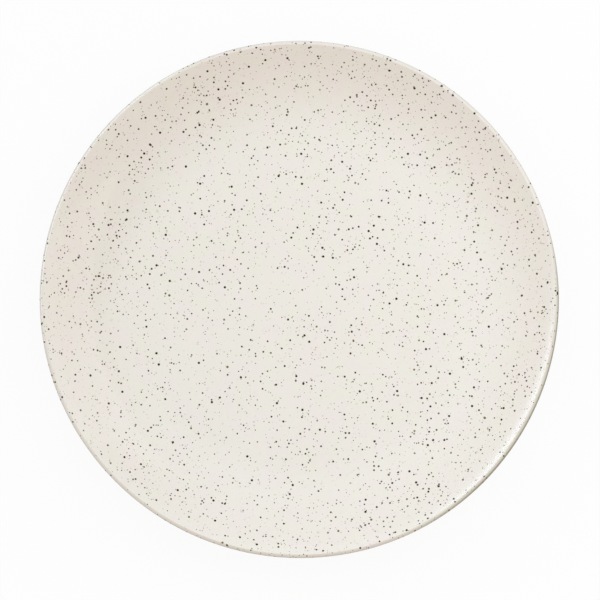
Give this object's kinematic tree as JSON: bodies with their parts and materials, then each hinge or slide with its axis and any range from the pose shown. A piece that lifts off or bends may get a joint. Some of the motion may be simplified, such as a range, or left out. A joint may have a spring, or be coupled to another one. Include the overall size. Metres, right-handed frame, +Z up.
{
  "type": "coupe dinner plate",
  "caption": "Round rimless stoneware dinner plate with a flat floor, a low curved wall, a round lip and a bare foot ring, under a cream glaze with dark specks.",
  "frame": {"origin": "centre of the foot ring, on the plane that it stands on", "axes": "+Z up along the plate's axis; X and Y are any two level directions, since the plate is round"},
  "size_m": [0.27, 0.27, 0.0248],
  "materials": {
    "stoneware": "fired stoneware, bare and slightly sandy",
    "face_glaze": "satin cream glaze with iron specks",
    "back_glaze": "satin cream glaze with iron specks",
    "recess_glaze": "satin cream glaze with iron specks"
  },
  "bodies": {
    "root": {"stoneware_body": "stoneware", "face_glaze": "face_glaze", "back_glaze": "back_glaze", "recess_glaze": "recess_glaze"}
  },
  "joints": []
}
